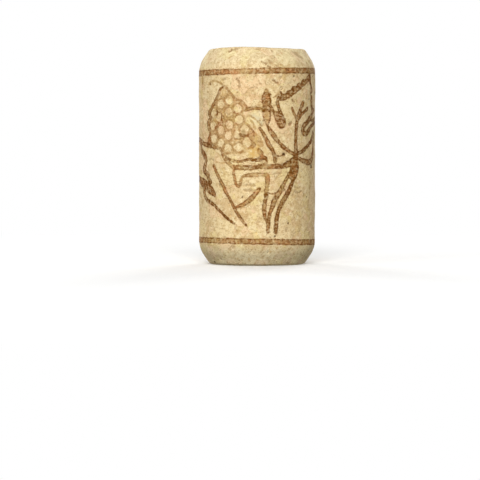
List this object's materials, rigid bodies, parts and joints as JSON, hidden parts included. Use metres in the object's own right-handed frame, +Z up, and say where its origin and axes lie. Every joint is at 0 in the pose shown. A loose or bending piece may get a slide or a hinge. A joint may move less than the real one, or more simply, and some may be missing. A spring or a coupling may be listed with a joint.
{
  "type": "wine cork",
  "caption": "Straight wine cork of bonded cork grains with tapered ends and a printed grapevine ornament, which plugs the neck of a bottle.",
  "frame": {"origin": "middle of the lower flat end, which the cork stands on", "axes": "+Z up along the cork's axis towards the upper end; the main side of the printed ornament faces -Y"},
  "size_m": [0.0206, 0.0206, 0.0381],
  "materials": {
    "cork": "matte, fine grained"
  },
  "bodies": {
    "root": {"cork": "cork"}
  },
  "joints": []
}
